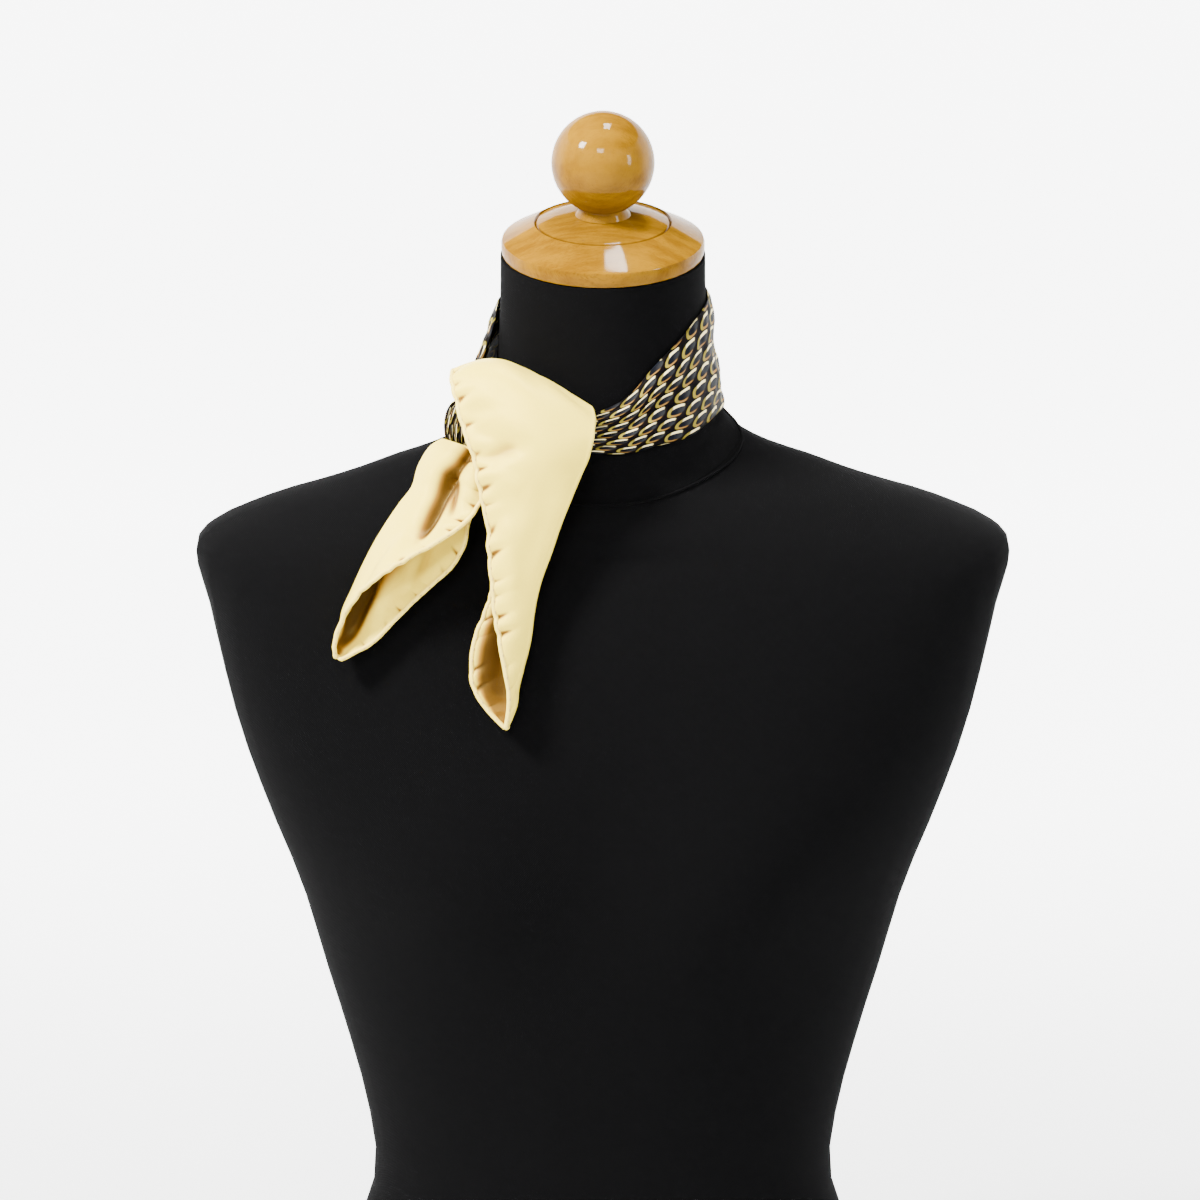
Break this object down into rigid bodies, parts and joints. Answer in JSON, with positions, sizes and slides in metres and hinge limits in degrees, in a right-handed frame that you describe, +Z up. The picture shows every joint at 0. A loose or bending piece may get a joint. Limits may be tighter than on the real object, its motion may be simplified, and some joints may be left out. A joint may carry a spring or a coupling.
{
  "type": "silk square scarf knotted on a limbless dress form",
  "caption": "Small silk square folded on the bias and knotted round the neck of a black jersey bust form with a turned wooden neck cap and ball.",
  "frame": {"origin": "centre of the bounding box at the underside of the form's flat base", "axes": "+Z up; the front of the form faces -Y; +X is the wearer's left, the viewer's right"},
  "size_m": [0.4208, 0.2202, 0.7474],
  "materials": {
    "printed_silk": "satin",
    "plain_silk": "satin",
    "black_jersey": "matte",
    "varnished_wood": "gloss"
  },
  "bodies": {
    "root": {"form_torso": "black_jersey", "form_neck": "black_jersey", "neck_cap": "varnished_wood", "cap_finial": "varnished_wood", "neck_band": "printed_silk", "knot_wrap": "printed_silk", "front_tail": "plain_silk", "side_tail": "plain_silk"}
  },
  "joints": []
}
